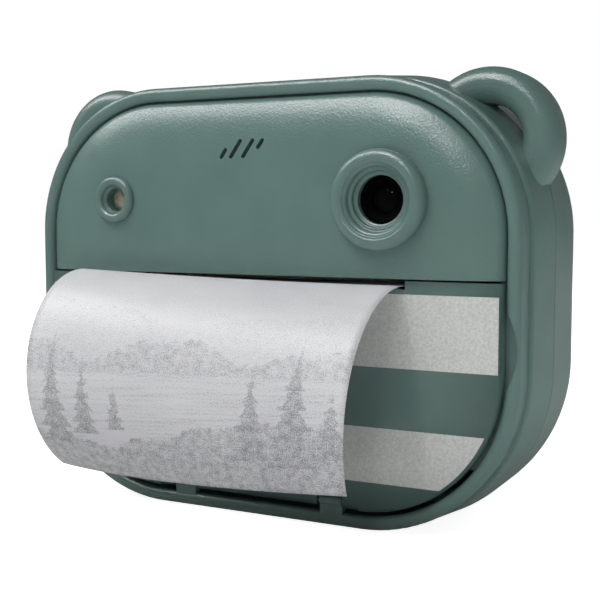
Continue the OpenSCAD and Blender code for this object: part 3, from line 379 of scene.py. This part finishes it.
def makePrintGroup():
    p = printPart
    g, _, leave = newGroup("landscapePrint", (), ("Ink",))
    split = addNode(g, "ShaderNodeSeparateXYZ")
    spot = addNode(g, "ShaderNodeUVMap", uv_map="print").outputs[0]
    g.links.new(spot, split.inputs[0])
    x, y = split.outputs[0], split.outputs[1]

    def cloud(acrossScale, upScale, detail):
        spread = addNode(g, "ShaderNodeVectorMath", operation="MULTIPLY")
        spread.inputs[1].default_value = (acrossScale, upScale, 1.0)
        g.links.new(spot, spread.inputs[0])
        tex = addNode(g, "ShaderNodeTexNoise")
        tex.inputs["Scale"].default_value = 1.0
        tex.inputs["Detail"].default_value = detail
        g.links.new(spread.outputs[0], tex.inputs["Vector"])
        return tex.outputs[0]

    def wave(scale, start, height):
        turn = calc(g, "MULTIPLY_ADD", x, scale * math.tau, start)
        return calc(g, "MULTIPLY", calc(g, "SINE", turn), height)

    def ridge(base, h1, s1, h2, s2, start):
        return calc(g, "ADD", calc(g, "ADD", wave(s1, start, h1), wave(s2, start * p["waveShift"], h2)), base)

    def over(tone, mask, shade):
        return calc(g, "MULTIPLY_ADD", mask, calc(g, "SUBTRACT", shade, tone), tone)

    def below(level):
        edge = calc(g, "ADD", level, fromNoise(g, leaves, -p["edgeLeaf"], p["edgeLeaf"]))
        return span(g, calc(g, "SUBTRACT", edge, y), -p["edgeBlur"], p["edgeBlur"], 0.0, 1.0)

    leaves = cloud(*p["leafNoise"])
    tone = span(g, cloud(*p["skyNoise"]), *p["skyRange"], *p["skyTone"])
    tone = over(tone, below(ridge(*p["farRidge"])), fromNoise(g, leaves, *p["farTone"]))
    tone = over(tone, below(ridge(*p["midRidge"])), fromNoise(g, leaves, *p["midTone"]))
    tone = over(tone, below(p["shore"]), span(g, cloud(*p["lakeNoise"]), *p["lakeRange"], *p["lakeTone"]))
    tone = over(tone, below(ridge(*p["bank"])), fromNoise(g, leaves, *p["bankTone"]))
    for cx, base, tall, wide in p["firs"]:
        up = calc(g, "DIVIDE", calc(g, "SUBTRACT", y, base), tall)
        tier = calc(g, "FRACT", calc(g, "MULTIPLY", up, p["tiers"]))
        drawn = calc(g, "SUBTRACT", 1.0, calc(g, "MULTIPLY", tier, p["tierCut"]))
        reach = calc(g, "MULTIPLY", calc(g, "SUBTRACT", 1.0, up), drawn)
        off = calc(g, "ABSOLUTE", calc(g, "SUBTRACT", x, cx))
        side = calc(g, "ADD", off, fromNoise(g, leaves, -p["firLeaf"], p["firLeaf"]))
        within = calc(g, "SUBTRACT", calc(g, "MULTIPLY", reach, wide), side)
        inside = span(g, within, -p["firBlur"], p["firBlur"], 0.0, 1.0)
        inside = calc(g, "MULTIPLY", inside, calc(g, "GREATER_THAN", up, 0.0))
        tone = over(tone, inside, fromNoise(g, leaves, *p["firTone"]))
    grains = span(g, cloud(*p["dotNoise"]), *p["dotRange"], 0.0, 1.0)
    speck = span(g, calc(g, "SUBTRACT", tone, grains), -p["dotBlur"], p["dotBlur"], 0.0, 1.0)
    depth = calc(g, "MULTIPLY_ADD", tone, p["inkGain"], p["inkLow"])
    g.links.new(calc(g, "MINIMUM", calc(g, "MULTIPLY", speck, depth), 1.0), leave.inputs["Ink"])
    return g


# thin coated paper, which lets some light through
paperLook = {"dark": (0.64, 0.64, 0.67, 1), "light": (0.69, 0.69, 0.715, 1), "ink": (0.16, 0.16, 0.17, 1),
             "coarse": 90.0, "rough": (0.42, 0.52), "gloss": 0.22, "through": 0.7, "spread": 0.6}


def paperMaterial():
    p = paperLook
    mat, tree, shader = newMaterial("printedPaper")
    grain = placeGrain(tree, coarse=p["coarse"])
    plain = blendColor(tree, fromNoise(tree, grain["Tone"], 0.0, 1.0), p["dark"], p["light"])
    ink = addNode(tree, "ShaderNodeGroup", node_tree=makePrintGroup())
    feed(tree, shader.inputs["Base Color"], blendColor(tree, ink.outputs["Ink"], plain, p["ink"]))
    feed(tree, shader.inputs["Roughness"], fromNoise(tree, grain["Smudge"], *p["rough"]))
    shader.inputs["Specular IOR Level"].default_value = p["gloss"]
    shader.inputs["Subsurface Weight"].default_value = p["through"]
    shader.inputs["Subsurface Radius"].default_value = (1.0, 1.0, 1.0)
    shader.inputs["Subsurface Scale"].default_value = p["spread"] * mm
    return mat


# from the slot back to the platen and a quarter turn round it
feedPart = {"platenDepth": 7.9, "platenZ": 34.9, "wrap": 4.75, "tail": 1.5, "columns": 4, "rows": 48}


def makeFeed():
    f = feedPart
    straight, quarter = f["platenDepth"], f["wrap"] * math.pi / 2
    bm = bmesh.new()
    bmesh.ops.create_grid(bm, x_segments=f["columns"], y_segments=f["rows"], size=0.5)
    for v in bm.verts:
        s = (v.co.y + 0.5) * (straight + quarter + f["tail"])
        if s < straight:
            d, z = s, paperPart["slotZ"]
        elif s < straight + quarter:
            turn = (s - straight) / f["wrap"]
            d, z = straight + f["wrap"] * math.sin(turn), f["platenZ"] + f["wrap"] * math.cos(turn)
        else:
            d, z = straight + f["wrap"], f["platenZ"] - (s - straight - quarter)
        v.co = paperPoint(v.co.x + 0.5, d, z)
    return finishPaper(bm, "paperFeed")


# the free stretch from the roll up to the print head
webPart = {"topDepth": 12.65, "topZ": 33.0, "rollGap": 0.15, "bow": 0.12, "onRoll": 5.0, "columns": 4, "rows": 26}


def makeWeb():
    w, r = webPart, rollPart
    across, up = w["topDepth"] - r["depth"], w["topZ"] - r["height"]
    touch = r["radius"] + w["rollGap"]
    reach = math.hypot(across, up)
    aim = math.atan2(up, across) + math.acos(touch / reach)
    endD, endZ = r["depth"] + touch * math.cos(aim), r["height"] + touch * math.sin(aim)
    free = math.hypot(endD - w["topDepth"], endZ - w["topZ"])
    bm = bmesh.new()
    bmesh.ops.create_grid(bm, x_segments=w["columns"], y_segments=w["rows"], size=0.5)
    for v in bm.verts:
        s = (v.co.y + 0.5) * (free + w["onRoll"])
        share = min(s / free, 1.0)
        turn = aim + max(s - free, 0.0) / touch
        bow = w["bow"] * math.sin(math.pi * share)
        d = w["topDepth"] + (endD - w["topDepth"]) * share - bow * math.cos(aim)
        z = w["topZ"] + (endZ - w["topZ"]) * share - bow * math.sin(aim)
        d += touch * (math.cos(turn) - math.cos(aim))
        z += touch * (math.sin(turn) - math.sin(aim))
        v.co = paperPoint(v.co.x + 0.5, d, z)
    return finishPaper(bm, "paperWeb"), (free + w["onRoll"]) * mm


paperCurl = makeCurl()
paperCurl.data.materials.append(paperMaterial())
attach(paperCurl, "door")
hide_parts("paper_strip")
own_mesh(paperCurl)
paperFeed = makeFeed()
paperFeed.data.materials.append(rollPaper)
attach(paperFeed, "door")
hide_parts("paper_strip")
paperWeb, webLength = makeWeb()
paperWeb.data.materials.append(rollPaper)
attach(paperWeb, "case")
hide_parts("paper_web")
print("paper made")

# camera, floor and light
cameraPart = {"place": (0.088449, -0.168905, 0.050721), "tilt": 90 - 4.558, "turn": 27.322,
              "lens": 64.8, "sensor": 36.0, "near": 0.005}
cam = bpy.data.cameras.new("photoCamera")
cam.lens = cameraPart["lens"]
cam.sensor_width = cameraPart["sensor"]
cam.clip_start = cameraPart["near"]
camObj = link(bpy.data.objects.new("photoCamera", cam))
camObj.location = cameraPart["place"]
camObj.rotation_euler = (math.radians(cameraPart["tilt"]), 0.0, math.radians(cameraPart["turn"]))
scene.camera = camObj

# the backdrop is white to the eye, "mirrored" is its share in gloss, "room" its light on the object
# "near" and "far" are a distance from the middle of the floor and its glow there
stagePart = {"size": 3.0, "pale": (0.8, 0.8, 0.79, 1), "inGloss": (0.22, 0.22, 0.22, 1), "mirrored": 0.12,
             "room": 0.05, "rough": 0.9, "near": (0.1, 0.92), "far": (0.4, 1.0)}


def backdropShare(tree, path):
    seen = calc(tree, "MAXIMUM", path.outputs["Is Camera Ray"], path.outputs["Is Transmission Ray"])
    mirrored = calc(tree, "MULTIPLY", path.outputs["Is Glossy Ray"], stagePart["mirrored"])
    return calc(tree, "MAXIMUM", seen, mirrored)


def makeStage():
    bm = bmesh.new()
    bmesh.ops.create_grid(bm, x_segments=1, y_segments=1, size=stagePart["size"])
    floor = meshFrom(bm, "floor")
    mat, tree, shader = newMaterial("paleFloor")
    shader.inputs["Roughness"].default_value = stagePart["rough"]
    path = addNode(tree, "ShaderNodeLightPath")
    tone = blendColor(tree, path.outputs["Is Glossy Ray"], stagePart["pale"], stagePart["inGloss"])
    feed(tree, shader.inputs["Base Color"], tone)
    shader.inputs["Emission Color"].default_value = white
    away = addNode(tree, "ShaderNodeVectorMath", operation="LENGTH")
    tree.links.new(addNode(tree, "ShaderNodeTexCoord").outputs["Object"], away.inputs[0])
    (nearAt, nearGlow), (farAt, farGlow) = stagePart["near"], stagePart["far"]
    glow = span(tree, away.outputs["Value"], nearAt, farAt, nearGlow, farGlow)
    feed(tree, shader.inputs["Emission Strength"], calc(tree, "MULTIPLY", backdropShare(tree, path), glow))
    floor.data.materials.append(mat)
    world = bpy.data.worlds.new("studio")
    scene.world = world
    world.use_nodes = True
    tree = world.node_tree
    back = tree.nodes["Background"]
    share = backdropShare(tree, addNode(tree, "ShaderNodeLightPath"))
    feed(tree, back.inputs["Strength"], calc(tree, "MAXIMUM", share, stagePart["room"]))
    back.inputs["Color"].default_value = white


centre = (0.0, 0.0, 0.04)
topSpot = {"place": (-0.25, -0.14, 0.37), "aim": (-0.22, 0.0, 0.04), "size": (0.65, 0.13)}
lampPart = {
    "leftBox": {"place": (-0.12, -0.62, 0.66), "size": (0.06, 0.06), "power": 0.95},
    "rightBox": {"place": (0.145, -0.62, 0.49), "size": (0.06, 0.06), "power": 0.55},
    "frontFill": {"place": (0.25, -0.65, 0.08), "size": (0.3, 0.2), "power": 0.3, "gloss": False},
    "topBox": {**topSpot, "power": 1.4},
    "sheenBox": {**topSpot, "power": 4.4, "diffuse": False},
    "backFill": {"place": (0.25, 0.7, 0.45), "size": (0.6, 0.4), "power": 3.0, "gloss": False},
    "sideCard": {"place": (0.105, 0.02, 0.002), "aim": (0.105, 0.02, 1.0), "size": (0.09, 0.16), "power": 0.07,
                 "gloss": False},
    "frontCard": {"place": (0.0, -0.19, 0.002), "aim": (0.0, -0.19, 1.0), "size": (0.24, 0.2), "power": 0.2,
                  "gloss": False},
}


def softbox(name, place, size, power, aim=centre, gloss=True, diffuse=True):
    lamp = bpy.data.lights.new(name, "AREA")
    lamp.energy = power
    lamp.shape = "RECTANGLE"
    lamp.size, lamp.size_y = size
    obj = link(bpy.data.objects.new(name, lamp))
    obj.location = place
    obj.rotation_euler = (Vector(aim) - Vector(place)).to_track_quat("-Z", "Y").to_euler()
    obj.visible_camera = obj.visible_glossy = gloss  # a fill makes no highlight of its own
    obj.visible_diffuse = diffuse  # the sheen lifts the highlights alone


makeStage()
for name, values in lampPart.items():
    softbox(name, **values)
print("stage and light set")
